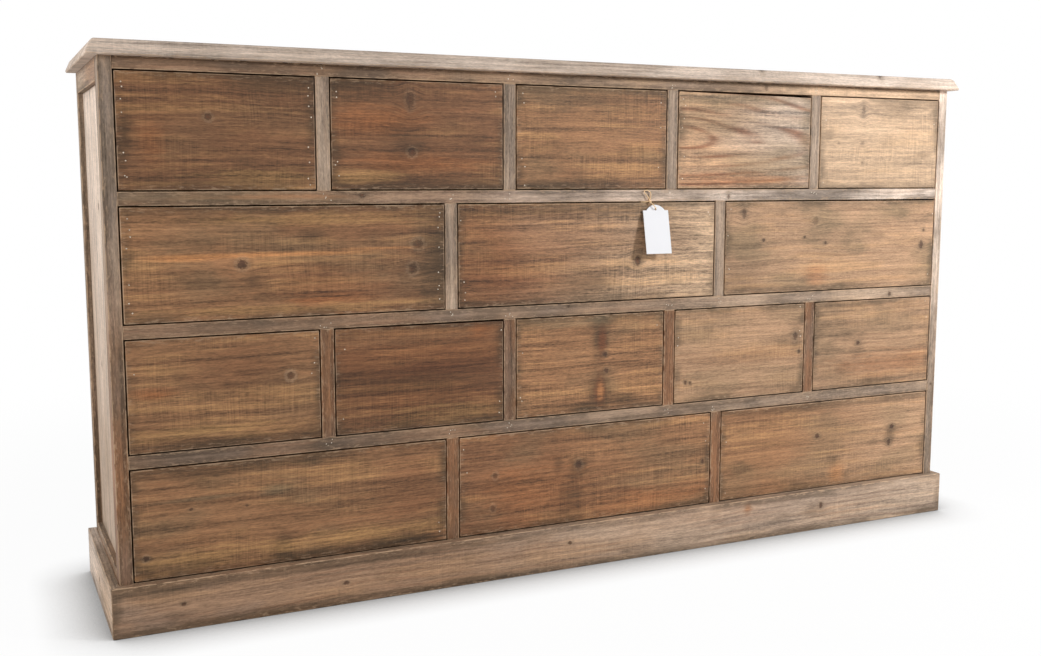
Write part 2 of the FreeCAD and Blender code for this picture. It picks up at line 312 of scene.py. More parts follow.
class Pine(Shader):
    """Worn pine on a board: u runs along the grain, v across it and w into it; q is the way across and
    into the board together, and own is v counted anew on each of several boards a pitch apart."""

    # How far the grain and the saw marks stray in metres and the rings in rings, how strongly a knot bends
    # the grain and how far in its radii, and how wide the edges' grime, flecks and bare wood are in metres.
    wander, comb_wander, ring_wander = 0.016, 0.015, 2.4
    knot_pull, knot_reach = 0.85, (3.4, 2.3)
    grime_width, fleck_width, arris_width = 0.02, 0.013, 0.0021
    gloss, bump_depth, darkest = 0.3, 0.00045, 0.3

    def __init__(self, name, look, low, size, along, across, seed, pitch):
        super().__init__(name)
        self.look, self.size, self.seed = look, size, seed
        self.u, self.v, self.w = board_axes(self, along, across, low)
        self.q = self.v + self.w
        self.own = self.maths("MODULO", self.v, pitch) if pitch else self.v
        self.drift = self.cells("drift", self.q) - 0.5
        self.bent = self.q + self.drift * self.wander
        self.knots = [self.bent_round(knot) for knot in look.knots]
        self.broad, self.streak, self.dash = (self.cells(kind, self.bent) - 0.5
                                              for kind in ("broad", "streak", "dash"))
        self.fibre = self.cells("fibre", self.q) - 0.5
        self.cloud, self.stain = self.cells("cloud", self.q), self.cells("stain", self.q)
        self.sawn = self.smooth(self.cells("sawn", self.q), 0.42, 0.6)

    def cells(self, kind, across, along=None, shift=0.0):
        """One of NOISES over the board; shift changes its seed."""
        per_along, per_across, step, detail, roughness = NOISES[kind]
        return self.noise((along or self.u) * per_along, across * per_across, self.seed + step + shift,
                          detail, roughness)

    def bent_round(self, knot):
        """Bend the grain round a knot by a bell curve of the way from it. Gives the knot, the ways from it
        along and across in its radii, and the bell curve."""
        du, dv = self.u - knot.u * self.size[0], self.v - (1 - knot.v) * self.size[1]
        near = self.maths("EXPONENT", (du * du / (self.knot_reach[0] * knot.wide) ** 2
                                       + dv * dv / (self.knot_reach[1] * knot.tall) ** 2) * -1)
        self.bent = self.bent - dv * near * self.knot_pull
        return knot, du / knot.wide, dv / knot.tall, near

    def late_wood(self):
        """Dark ring lines, 0 to 1: a wave of the distance from a slanted heart line, shown in places."""
        look = self.look
        side = self.bent - look.heart * self.size[1]
        back = self.u * look.slope + look.deep + self.w * 0.8
        ring = self.distance(side, back) / look.spacing + self.drift * self.ring_wander
        wave = self.maths("SINE", ring * (2 * math.pi)) * 0.5 + 0.5
        return wave * wave * wave * self.smooth(self.cells("gate", self.bent), 0.36, 0.62)

    def ground(self, late):
        """The board's tone from end to end, then golden sawn bands, red rings, haze, dirt and patches."""
        look, (span, rise, _) = self.look, self.size
        smooth, mix = self.smooth, self.mix
        base = tone(look.left)
        if look.right != look.left:
            base = mix(base, tone(look.right), smooth(self.u / span + self.drift * 0.9, 0.15, 0.95))
        bands = self.sawn * smooth(self.broad + self.dash * 0.5, -0.1, 0.16)
        base = mix(base, tone("gold"), bands * look.gold)
        base = mix(base, tone("russet"), late * (0.55 * look.rings))
        base = mix(base, tone(look.haze), smooth(self.cloud, 0.46, 0.66) * look.veil)
        dirty = smooth(self.stain + self.streak * 0.3, 0.54, 0.74)
        base = mix(base, tone("umber"), dirty * (0.5 * look.dirt))
        for patch in look.patches:
            reach = self.distance((self.u / span - patch.u) / patch.wide,
                                  ((1 - self.v / rise) - patch.v) / patch.tall)
            torn = reach + (self.cells("patch", self.bent, shift=patch.u * 9) - 0.5) * (3.6 * patch.ragged)
            base = mix(base, tone(patch.tone), smooth(torn, 1.5, 0.1) * patch.strength)
        return base

    def knotted(self, base, height):
        """Each knot's pale halo, its dark smudge along the grain, its heart and rim, and its red eye."""
        smooth, mix = self.smooth, self.mix
        for knot, ku, kv, near in self.knots:
            reach = self.distance(ku, kv) + (self.cells("knot", self.v, shift=knot.u) - 0.5) * 2.2
            core = smooth(reach, 1.15, 0.35)
            rim = smooth(reach, 0.5, 0.9) * smooth(reach, 1.4, 0.95)
            halo = smooth(reach, 2.4, 1.5) * smooth(reach, 1.0, 1.4)
            base = mix(base, tone("straw"), halo * (knot.halo * 0.35))
            base = mix(base, tone("umber"), smooth(near + self.streak * 0.5, 0.35, 1.0) * (0.4 * knot.heart))
            base = mix(base, tone("knot"), core * (knot.heart * 0.85) + rim * (knot.heart * 0.5))
            base = mix(base, tone("russet"), smooth(reach, 0.75, 0.1) * (knot.red * 0.6))
            height = height + rim * 0.3 - core * 0.15
        return base, height

    def worn(self, base):
        """Grime and pale flecks towards the edges, and bare wood on the arrises. The way to the nearest
        edge is the second smallest of the ways to the board's faces."""
        look, smooth, mix = self.look, self.smooth, self.mix
        gaps = [self.maths("MINIMUM", place, full - place)
                for place, full in zip((self.u, self.own, self.w), self.size)]
        edge = gaps[0] + gaps[1] + gaps[2] - self.chain("MINIMUM", *gaps) - self.chain("MAXIMUM", *gaps)
        grime = smooth(edge + (self.stain - 0.5) * 0.05, self.grime_width, 0.0) * (0.75 * look.dirt)
        base = mix(base, tone("umber"), grime * smooth(self.cloud, 0.34, 0.58))
        fleck = smooth(self.cells("fleck", self.q), 0.52, 0.66) * smooth(edge, self.fleck_width, 0.002)
        base = mix(base, tone("straw"), fleck * (0.45 * look.wear))
        arris = smooth(edge, self.arris_width, 0.0008) * smooth(self.cells("arris", self.q), 0.38, 0.56)
        return mix(base, tone("straw"), arris * (0.7 * look.wear))


def pine(name, look, low, size, along="x", across="z", seed=0.0, roughness=0.62, pitch=0.0):
    """The finish of a board of a given size along the grain, across it and deep. With a pitch, equal
    boards stand side by side across the grain and each has its own edges."""
    board = Pine(name, look, low, size, along, across, seed, pitch)
    late = board.late_wood()
    height = 0.5 + late * (0.3 * look.rings) + board.streak * 0.5 + board.fibre * 0.7
    base, height = board.knotted(board.ground(late), height)
    marks = (board.cells("comb", board.q, board.u + board.drift * board.comb_wander) - 0.5) * board.sawn
    grain = board.broad * 1.5 + board.streak * 1.8 + board.dash * 1.5 + board.fibre * 1.6
    grain = grain + marks * (1.9 * look.saw)
    shade = board.maths("MAXIMUM", 1.0 + grain * (0.85 * look.streaks), board.darkest)
    base = board.scaled(board.worn(board.scaled(base, shade)), look.level)
    rough = roughness + board.fibre * 0.25 + (board.cloud - 0.5) * 0.3
    return board.surface(base, rough, height + marks * (0.8 * look.saw), board.bump_depth,
                         Specular_IOR_Level=board.gloss)


def jute():
    """Pale jute: fine slanting fibres, lighter and darker."""
    shader = Shader("jute")
    x, y, z = shader.several("ShaderNodeSeparateXYZ", range(3), {0: shader.object_point()})
    hair = shader.noise(x * 900 + z * 500, y * 900, z * 2600, 3, 0.6)
    base = shader.scaled(tone("jute"), 0.7 + hair * 0.9)
    return shader.surface(base, 0.85, hair, 0.0003, Specular_IOR_Level=0.15)


def card_stock(low, high):
    """Plain white card with a faint fibre and slightly handled edges."""
    shader = Shader("card")
    u, v, w = board_axes(shader, "x", "z", low)
    fibre = shader.noise(u * 900, v * 900, w * 900, 4, 0.6)
    cloud = shader.noise(u * 40, v * 40, 3.0, 2)
    edge = shader.chain("MINIMUM", u, (high.x - low.x) - u, v)
    handled = shader.smooth(edge + (cloud - 0.5) * 0.003, 0.0022, 0.0) * 0.3
    base = shader.scaled(shader.mix(tone("card"), srgb(214, 210, 202), handled), 0.95 + fibre * 0.1)
    return shader.surface(base, 0.6 + fibre * 0.15, fibre, 0.00006, Specular_IOR_Level=0.35)


def pin_metal():
    """Dull bright steel, a little tarnished."""
    shader = Shader("pin_steel")
    tarnish = shader.add("ShaderNodeTexNoise", {}, {"Vector": shader.object_point(), "Scale": 320.0,
                                                    "Detail": 2.0})
    base = shader.mix(tone("steel"), srgb(150, 136, 116), shader.smooth(tarnish, 0.45, 0.65))
    return shader.surface(base, 0.4 + tarnish * 0.2, tarnish, 0.00005, Metallic=0.4)


# ------------------------------------------------------------------ surfaces

CORNER_WEAR = 0.25          # how much of a corner's radius comes and goes along a board
ASIDE = (0.3, 0.2, 0.93)    # any direction that the twine doesn't start in
PLY_PLACE, PLY_RADIUS = 0.22, 0.27    # of the whole twine's diameter
STATIONS_PER_TURN = 10
KNOT_TIGHTNESS = 0.42
PIN_DEPTH = 0.0003          # how far a pin's foot is set into the wood


def ripple(place, seed, pitch=0.07):
    """A smooth value from -1 to 1 along a board: the mean of four sines with seeded phases."""
    phases = np.random.default_rng(seed).uniform(0, 2 * math.pi, 4)
    rates = 2 * math.pi / (pitch * np.array((1.0, 0.61, 0.37, 0.23)))
    return np.sin(np.multiply.outer(place, rates) + phases).mean(-1)


def worn_board(low, high, along, ease, station, seed, bend=None):
    """Vertices and faces of a board: a rectangle with quarter-round corners carried along its length.
    The corner radius ripples along the board and the section draws in over the last ease of each end,
    by one minus the root of one minus the square of the way into it. bend moves the finished points."""
    low, high = np.array(low), np.array(high)
    axis = AXES[along]
    side_axes = [i for i in range(3) if i != axis]
    if axis == 1:
        side_axes.reverse()
    length_along = high[axis] - low[axis]
    count = max(4, int(length_along / station))
    lead = ease * np.array((0.0, 0.12, 0.35, 0.65, 1.0))
    places = np.concatenate((lead, np.linspace(ease, length_along - ease, count)[1:-1],
                             length_along - lead[::-1]))
    into = np.clip(np.minimum(places, length_along - places) / ease, 0, 1)
    inset = ease * (1 - np.sqrt(1 - (1 - into) ** 2))
    signs = np.array(((1, 1), (-1, 1), (-1, -1), (1, -1)))
    corners, per_corner = len(signs), 4
    ripples = np.stack([ripple(places, seed + corner) for corner in range(corners)], 1)
    radius = ease * (1 - CORNER_WEAR + CORNER_WEAR * ripples)
    start = np.array((0, 0.5, 1, 1.5)) * math.pi
    turn = start[:, None] + np.linspace(0, math.pi / 2, per_corner)[None, :]
    half = (high - low)[side_axes] / 2
    middle = (high + low)[side_axes] / 2
    grid = np.empty((len(places), corners, per_corner, 3))
    for k in range(2):
        corner = signs[None, :, k] * (half[k] - radius - inset[:, None])
        wave = (np.cos, np.sin)[k](turn)
        grid[..., side_axes[k]] = middle[k] + corner[:, :, None] + radius[:, :, None] * wave[None]
    grid[..., axis] = (low[axis] + places)[:, None, None]
    points = grid.reshape(-1, 3)
    if bend is not None:
        points = bend(points)
    return points, tube_faces(len(places), corners * per_corner)


def tube_faces(stations, around):
    """Quads between the sections of a tube, and one face over each end."""
    ring = np.arange(around)
    base = np.arange(stations - 1)[:, None] * around
    here, there = base + ring, base + (ring + 1) % around
    quads = np.stack((here, there, there + around, here + around), -1).reshape(-1, 4)
    first = ring[::-1]
    last = ring + (stations - 1) * around
    return [*quads.tolist(), first.tolist(), last.tolist()]


def joined(pieces):
    """Several (vertices, faces) as one."""
    points, faces, shift = [], [], 0
    for some_points, some_faces in pieces:
        points.append(some_points)
        faces += [[index + shift for index in face] for face in some_faces]
        shift += len(some_points)
    return np.concatenate(points), faces


def frames_along(line):
    """Two unit vectors square to a line at each of its points: the first is carried from point to point
    with the line's own turn only."""
    ahead = np.gradient(line, axis=0)
    ahead /= np.linalg.norm(ahead, axis=1)[:, None]
    first = np.empty_like(line)
    first[0] = np.cross(ahead[0], ASIDE)
    for index in range(1, len(line)):
        first[index] = first[index - 1] - ahead[index] * (first[index - 1] @ ahead[index])
    first /= np.linalg.norm(first, axis=1)[:, None]
    return first, np.cross(ahead, first)


def tube(line, radius, around=8):
    """A round tube: a circle carried along a line."""
    first, second = frames_along(line)
    turn = np.linspace(0, 2 * math.pi, around, endpoint=False)
    ring = np.cos(turn)[None, :, None] * first[:, None] + np.sin(turn)[None, :, None] * second[:, None]
    return (line[:, None] + radius * ring).reshape(-1, 3), tube_faces(len(line), around)


def twisted(line, diameter, pitch):
    """Two plies: tubes that circle the line half a turn apart, one turn per pitch, each as thick as lets
    the pair measure the whole diameter."""
    steps = np.concatenate(((0,), np.cumsum(np.linalg.norm(np.diff(line, axis=0), axis=1))))
    count = int(steps[-1] / (pitch / STATIONS_PER_TURN))
    even = np.linspace(0, steps[-1], count)
    centre = np.stack([np.interp(even, steps, line[:, axis]) for axis in range(3)], 1)
    first, second = frames_along(centre)
    plies = []
    for phase in (0, math.pi):
        angle = (2 * math.pi * even / pitch + phase)[:, None]
        circling = centre + diameter * PLY_PLACE * (np.cos(angle) * first + np.sin(angle) * second)
        plies.append(tube(circling, diameter * PLY_RADIUS, 7))
    return joined(plies)


def trefoil(place, size, radius):
    """A small overhand knot: a tube along the closed curve (sin t + 2 sin 2t, cos t - 2 cos 2t, -sin 3t)."""
    t = np.linspace(0, 2 * math.pi, 73)
    line = np.stack((np.sin(t) + 2 * np.sin(2 * t), -np.sin(3 * t), np.cos(t) - 2 * np.cos(2 * t)), 1)
    return tube(place + line * size * KNOT_TIGHTNESS, radius)


def pin_heads(places, radius, rise):
    """Low domes: three rings whose height falls as the root of one minus the squared radius, and a foot
    that is set into the wood."""
    rings, around = 3, 7
    share = np.linspace(0.35, 1.0, rings)
    turn = np.linspace(0, 2 * math.pi, around, endpoint=False)
    local = np.zeros((rings + 1, around, 3))
    local[:rings, :, 0] = radius * share[:, None] * np.cos(turn)
    local[:rings, :, 2] = radius * share[:, None] * np.sin(turn)
    local[:rings, :, 1] = -rise * np.sqrt(1 - share ** 2)[:, None]
    local[rings, :, 0], local[rings, :, 2] = local[rings - 1, :, 0], local[rings - 1, :, 2]
    local[rings, :, 1] = PIN_DEPTH
    points = (places[:, None] + local.reshape(1, -1, 3)).reshape(-1, 3)
    size = (rings + 1) * around
    one = tube_faces(rings + 1, around)
    return points, [[index + head * size for index in face] for head in range(len(places)) for face in one]


def sagged(points, low, high, sag):
    """The top edge comes down towards the right end by sag times the shares of length and height."""
    shares = (points - np.array(low)) / np.array(high - low)
    moved = points.copy()
    moved[:, 2] -= sag * shares[:, 0] * shares[:, 2]
    return moved


# ------------------------------------------------------------------ boards and pieces

FRONT_SEED, BOARD_SEED = 3.7, 2.3    # a board's seed times this is the seed of its wood's noises
FRAME_ROUGHNESS = 0.66


def piece(name, shape, material, body, replaced=(), smooth=False):
    """A mesh object from (vertices, faces), riding on a body."""
    points, faces = shape
    mesh = bpy.data.meshes.new(name)
    mesh.from_pydata(points.tolist(), [], faces)
    mesh.update()
    if smooth:
        mesh.polygons.foreach_set("use_smooth", np.full(len(mesh.polygons), True))
    mesh.materials.append(material)
    obj = bpy.data.objects.new(name, mesh)
    bpy.context.scene.collection.objects.link(obj)
    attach(obj, body)
    if replaced:
        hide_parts(*replaced)
    return obj


def refinished(node, material):
    """Give a CAD node's own mesh one material."""
    materials = frame["nodes"][node].data.materials
    materials.clear()
    materials.append(material)


def node_boards(node, along, count, gap=0.0):
    """The boards of a node that holds several side by side along an axis, as (low, high): equal ones with
    a given gap between them, or else the groups left by cutting its coordinates at their widest gaps."""
    low, high = (np.array(corner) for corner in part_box(node))
    axis = AXES[along]
    if gap:
        pitch = (high[axis] - low[axis] + gap) / count
        firsts = low[axis] + pitch * np.arange(count)
        lasts = firsts + pitch - gap
    else:
        mesh = frame["nodes"][node].data
        coordinates = np.empty(len(mesh.vertices) * 3)
        mesh.vertices.foreach_get("co", coordinates)
        marks = np.unique(np.round(coordinates[axis::3], 5))
        cuts = np.sort(np.argsort(np.diff(marks))[::-1][:count - 1])
        firsts, lasts = marks[[0, *(cuts + 1)]], marks[[*cuts, -1]]
    boards = []
    for first, last in zip(firsts, lasts):
        board_low, board_high = low.copy(), high.copy()
        board_low[axis], board_high[axis] = first, last
        boards.append((board_low, board_high))
    return boards


def sized(low, high, along, across):
    """The size of a box along the grain, across it, and deep."""
    spans = dict(zip("xyz", np.array(high) - np.array(low)))
    return spans.pop(along), spans.pop(across), spans.popitem()[1]


def dressed(node, along, across, look, ease, seed, count=1, bend=None, gap=0.0):
    """One piece for a node of the carcass: its board, or its equal boards side by side across the grain."""
    boards = bpy.context.scene.chest_boards
    solids = node_boards(node, across, count, gap) if count > 1 else [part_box(node)]
    low, high = solids[0]
    pitch = solids[1][0][AXES[across]] - low[AXES[across]] if count > 1 else 0.0
    material = pine(f"pine_{node}", look, low, sized(low, high, along, across), along, across,
                    seed * BOARD_SEED, FRAME_ROUGHNESS, pitch)
    shapes = [worn_board(first, last, along, ease, boards.station, seed + index, bend)
              for index, (first, last) in enumerate(solids)]
    return piece(f"worn_{node}", joined(shapes), material, "carcass", [node])


# ------------------------------------------------------------------ looks of the fronts

FRONT_LOOKS = {
    (1, 1): Look(
        "walnut", spacing=8, heart=1.4, level=0.8, veil=0.15,
        knots=[Knot(0.448, 0.371, 5, 5, 0.8, 0.5, 0.8)],
        patches=[Patch(0.16, 0.6, 0.07, 0.2, "amber", 0.4), Patch(0.72, 0.9, 0.3, 0.08, "gold", 0.7, 1),
                 Patch(0.85, 0.05, 0.3, 0.12, "umber", 0.5), Patch(0.04, 0.5, 0.04, 0.2, "umber", 0.6),
                 Patch(0.4, 0.97, 0.5, 0.1, "umber", 0.45)]),
    (1, 2): Look(
        "walnut", spacing=10, heart=1.3, veil=0.05, level=0.84,
        knots=[Knot(0.446, 0.173, 6, 12, 0.6, 0.3, 0.3), Knot(0.454, 0.655, 6, 6, 0.8, 0.5, 0.8)],
        patches=[Patch(0.25, 0.38, 0.3, 0.14, "amber", 0.55), Patch(0.45, 0.75, 0.4, 0.1, "amber", 0.5),
                 Patch(0.1, 0.08, 0.3, 0.1, "umber", 0.5), Patch(0.42, 0.55, 0.12, 0.2, "umber", 0.45),
                 Patch(0.5, 0.97, 0.6, 0.08, "umber", 0.5), Patch(0.15, 0.88, 0.2, 0.06, "gold", 0.7, 1)]),
    (1, 3): Look(
        "honey", spacing=6, heart=-0.6, streaks=1.15, saw=0.7, rings=0.5, level=0.9, gold=0.45,
        patches=[Patch(0.5, 0.96, 0.6, 0.07, "umber", 0.5, 1), Patch(0.2, 0.1, 0.3, 0.12, "ash", 0.4)]),
    (1, 4): Look(
        "wheat", "mist", spacing=17, heart=0.52, deep=2, slope=0.16, rings=1.5, saw=0.3, veil=0.45,
        level=1.12, gold=0.15,
        patches=[Patch(0.4, 0.92, 0.6, 0.08, "amber", 0.45), Patch(0.35, 0.07, 0.5, 0.08, "ash", 0.7),
                 Patch(0.97, 0.4, 0.05, 0.5, "ash", 0.5)]),
    (1, 5): Look(
        "straw", spacing=7, rings=0.25, streaks=0.8, saw=0.6, veil=0.15, level=0.9, gold=0.2,
        knots=[Knot(0.35, 0.13, 4, 11, 0.5, 0.3, 0.1), Knot(0.35, 0.5, 5, 5, 0.4, 0.3, 0.2),
               Knot(0.35, 0.72, 3, 3, 0.4, 0.2, 0.1), Knot(0.15, 0.5, 3, 3, 0.3, 0.2, 0.1)]),
    (2, 1): Look(
        "honey", "walnut", spacing=11, heart=-0.4, saw=0.6, level=0.92, gold=0.4,
        knots=[Knot(0.346, 0.51, 7, 7, 1.0, 0.5, 0.1), Knot(0.91, 0.37, 8, 7, 0.7, 0.5, 0.5),
               Knot(0.89, 0.6, 7, 8, 0.5, 0.5, 0.6)],
        patches=[Patch(0.17, 0.445, 0.12, 0.036, "flame", 0.95, 0.08),
                 Patch(0.33, 0.432, 0.17, 0.024, "flame", 0.85, 0.12),
                 Patch(0.55, 0.43, 0.2, 0.024, "flame", 0.8, 0.2),
                 Patch(0.78, 0.4, 0.16, 0.014, "flame", 0.6, 0.4),
                 Patch(0.62, 0.72, 0.18, 0.2, "russet", 0.45), Patch(0.6, 0.86, 0.14, 0.05, "amber", 0.5),
                 Patch(0.97, 0.5, 0.06, 0.6, "umber", 0.6), Patch(0.38, 0.66, 0.04, 0.07, "umber", 0.45),
                 Patch(0.57, 0.27, 0.06, 0.06, "umber", 0.6), Patch(0.5, 0.03, 0.6, 0.05, "umber", 0.4),
                 Patch(0.6, 0.12, 0.35, 0.06, "gold", 0.6, 0.8),
                 Patch(0.5, 0.93, 0.4, 0.04, "gold", 0.6, 1)]),
    (2, 2): Look(
        "walnut", "straw", spacing=7, heart=-0.7, streaks=1.25, saw=0.6, rings=0.5, level=0.9, veil=0.2,
        knots=[Knot(0.68, 0.6, 6, 9, 1.0, 0.2, 0.9)],
        patches=[Patch(0.3, 0.08, 0.5, 0.07, "umber", 0.5, 1), Patch(0.1, 0.75, 0.25, 0.3, "russet", 0.4),
                 Patch(0.2, 0.4, 0.3, 0.4, "amber", 0.12)]),
    (2, 3): Look(
        "wheat", "wheat", spacing=13, heart=-0.3, rings=0.3, streaks=0.8, saw=0.25, veil=0.6, level=0.97,
        knots=[Knot(0.17, 0.42, 3, 3, 0.9, 0.3, 0.1), Knot(0.36, 0.4, 3, 3, 0.9, 0.3, 0.1),
               Knot(0.46, 0.47, 3, 3, 0.9, 0.3, 0.1), Knot(0.41, 0.22, 7, 7, 0.4, 0.3, 0.0),
               Knot(0.94, 0.52, 5, 8, 0.9, 0.2, 0.5), Knot(0.95, 0.35, 3, 3, 0.8, 0.2, 0.1),
               Knot(0.08, 0.12, 5, 10, 0.6, 0.2, 0.4)],
        patches=[Patch(0.42, 0.83, 0.05, 0.14, "amber", 0.4), Patch(0.07, 0.8, 0.1, 0.3, "umber", 0.35)]),
    (3, 1): Look(
        "honey", spacing=8, heart=-0.5, saw=0.7, level=0.8, gold=0.45, veil=0.2,
        knots=[Knot(0.84, 0.4, 6, 6, 0.7, 0.8, 0.4)],
        patches=[Patch(0.13, 0.48, 0.12, 0.05, "amber", 0.7, 0.4),
                 Patch(0.5, 0.97, 0.6, 0.06, "umber", 0.5, 1),
                 Patch(0.4, 0.85, 0.5, 0.07, "gold", 0.7, 0.9), Patch(0.6, 0.3, 0.3, 0.2, "russet", 0.35)]),
    (3, 2): Look(
        "walnut", spacing=8, heart=1.5, level=0.68, rings=0.5, veil=0.0,
        patches=[Patch(0.5, 0.4, 0.8, 0.5, "amber", 0.4, 0.3),
                 Patch(0.85, 0.06, 0.09, 0.1, "amber", 0.8, 0.4), Patch(0.5, 0.5, 0.7, 0.16, "umber", 0.55),
                 Patch(0.6, 0.42, 0.4, 0.1, "russet", 0.5, 0.8), Patch(0.7, 0.9, 0.4, 0.1, "gold", 0.6, 1),
                 Patch(0.4, 0.12, 0.5, 0.08, "honey", 0.6, 1)]),
    (3, 3): Look(
        "honey", spacing=7, heart=-0.4, streaks=1.2, saw=0.5, rings=0.5, level=0.95,
        knots=[Knot(0.59, 0.41, 4, 4, 1.0, 0.2, 0.2), Knot(0.6, 0.58, 4, 4, 1.0, 0.2, 0.2)],
        patches=[Patch(0.55, 0.03, 0.12, 0.14, "umber", 0.85, 0.4),
                 Patch(0.56, 0.24, 0.06, 0.24, "umber", 0.75, 0.2),
                 Patch(0.55, 0.8, 0.085, 0.24, "umber", 0.75, 0.25),
                 Patch(0.57, 0.27, 0.03, 0.17, "russet", 0.85, 0.3),
                 Patch(0.555, 0.79, 0.04, 0.19, "russet", 0.8, 0.3),
                 Patch(0.56, 0.8, 0.02, 0.12, "flame", 0.55, 0.4),
                 Patch(0.35, 0.06, 0.3, 0.06, "ash", 0.55), Patch(0.73, 0.9, 0.12, 0.08, "umber", 0.6),
                 Patch(0.45, 0.97, 0.1, 0.07, "umber", 0.8, 0.5)]),
    (3, 4): Look(
        "wheat", spacing=8, saw=0.6, rings=0.4, level=0.96, streaks=0.8,
        knots=[Knot(0.93, 0.36, 5, 7, 0.7, 0.4, 0.3), Knot(0.965, 0.54, 4, 4, 0.9, 0.4, 0.3),
               Knot(0.08, 0.78, 3, 4, 1.0, 0.1, 0.8), Knot(0.115, 0.79, 2, 3, 1.0, 0.1, 0.8)],
        patches=[Patch(0.5, 0.55, 0.6, 0.1, "walnut", 0.35), Patch(0.94, 0.33, 0.05, 0.16, "umber", 0.4)]),
    (3, 5): Look(
        "wheat", spacing=9, rings=0.35, saw=0.6, level=0.8, streaks=0.85,
        knots=[Knot(0.371, 0.49, 4, 4, 1.0, 0.4, 0.4)],
        patches=[Patch(0.37, 0.55, 0.06, 0.14, "umber", 0.35), Patch(0.7, 0.75, 0.5, 0.16, "amber", 0.4)]),
    (4, 1): Look(
        "honey", spacing=9, heart=-0.5, gold=0.45, saw=0.6, level=0.84,
        knots=[Knot(0.034, 0.8, 4, 4, 1.0, 0.8, 0.2), Knot(0.17, 0.4, 3, 2, 0.9, 0.1, 0.2),
               Knot(0.34, 0.42, 3, 2, 0.8, 0.1, 0.2)],
        patches=[Patch(0.04, 0.93, 0.03, 0.1, "umber", 0.5, 0.5),
                 Patch(0.9, 0.5, 0.15, 0.5, "russet", 0.35), Patch(0.43, 0.3, 0.05, 0.06, "ash", 0.6, 0.5),
                 Patch(0.2, 0.31, 0.16, 0.02, "ash", 0.55, 0.4),
                 Patch(0.45, 0.85, 0.035, 0.16, "umber", 0.7, 0.5),
                 Patch(0.35, 0.06, 0.5, 0.06, "umber", 0.5, 1),
                 Patch(0.7, 0.84, 0.3, 0.08, "gold", 0.75, 0.9),
                 Patch(0.2, 0.87, 0.2, 0.09, "gold", 0.7, 0.9),
                 Patch(0.8, 0.95, 0.25, 0.05, "umber", 0.7, 0.8)]),
    (4, 2): Look(
        "walnut", "honey", spacing=9, heart=1.4, level=0.98, saw=0.7,
        knots=[Knot(0.45, 0.4, 6, 7, 0.9, 0.3, 0.2), Knot(0.13, 0.42, 4, 5, 0.6, 0.4, 0.4),
               Knot(0.12, 0.75, 4, 5, 0.6, 0.4, 0.4), Knot(0.97, 0.53, 3, 4, 1.0, 0.3, 0.4)],
        patches=[Patch(0.45, 0.42, 0.045, 0.12, "umber", 0.8, 0.5),
                 Patch(0.37, 0.38, 0.02, 0.09, "umber", 0.6),
                 Patch(0.42, 0.75, 0.05, 0.3, "umber", 0.55, 0.5), Patch(0.25, 0.6, 0.2, 0.3, "amber", 0.4),
                 Patch(0.8, 0.85, 0.3, 0.12, "amber", 0.45)]),
    (4, 3): Look(
        "honey", "wheat", spacing=10, rings=0.4, level=0.96, streaks=0.9,
        knots=[Knot(0.449, 0.394, 5, 5, 1.0, 0.4, 0.3), Knot(0.825, 0.377, 5, 5, 1.0, 0.4, 0.3),
               Knot(0.813, 0.568, 4, 6, 0.9, 0.4, 0.3)],
        patches=[Patch(0.55, 0.86, 0.04, 0.12, "flame", 0.6, 0.3),
                 Patch(0.5, 0.04, 0.6, 0.06, "umber", 0.35), Patch(0.53, 0.7, 0.03, 0.1, "umber", 0.4),
                 Patch(0.82, 0.47, 0.03, 0.16, "umber", 0.5)]),
}


# The share of its places that hold a pin, and how far the top edge slopes down in metres.
PIN_SHARES = {(1, 1): 0.95, (2, 1): 0.9, (1, 2): 0.5, (1, 3): 0.5, (2, 2): 0.4}
FRONT_SAGS = {(1, 4): 0.0035, (3, 2): 0.0012, (2, 3): 0.001}


# ------------------------------------------------------------------ operators

class CHEST_OT_camera(Operator):
    """Set the camera a little left of the chest, turned towards its right end"""
    bl_idname = "chest.camera"
    bl_label = "Camera"

    place = (-1.1053, -2.1850, 0.7648)
    turn_right, tip_down, roll = 25.322, 7.205, 0.011
    focal_length, sensor_width = 40.60, 36.0

    def execute(self, context):
        data = bpy.data.cameras.new("camera")
        data.sensor_fit = "HORIZONTAL"
        data.sensor_width = self.sensor_width
        data.lens = self.focal_length
        camera = bpy.data.objects.new("camera", data)
        camera.rotation_euler = Euler((math.radians(90 - self.tip_down), math.radians(-self.roll),
                                       math.radians(-self.turn_right)), "XYZ")
        camera.location = self.place
        context.scene.collection.objects.link(camera)
        context.scene.camera = camera
        return {"FINISHED"}


class CHEST_OT_fronts(Operator):
    """Make the sixteen drawer fronts as worn boards with their own grain, knots and stains"""
    bl_idname = "chest.fronts"
    bl_label = "Drawer fronts"

    def execute(self, context):
        boards = context.scene.chest_boards
        for row, column in DRAWERS:
            node = f"drawer_{row}_{column}_front"
            low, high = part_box(node)
            seed = 10 * row + column
            material = pine(f"pine_{row}_{column}", FRONT_LOOKS[(row, column)], low,
                            sized(low, high, "x", "z"), seed=seed * FRONT_SEED)
            sag = FRONT_SAGS.get((row, column), 0.0)
            shape = worn_board(low, high, "x", boards.front_ease, boards.station, seed,
                               lambda points: sagged(points, low, high, sag))
            piece(f"front_{row}_{column}", shape, material, f"drawer_{row}_{column}",
                  [node])
        return {"FINISHED"}


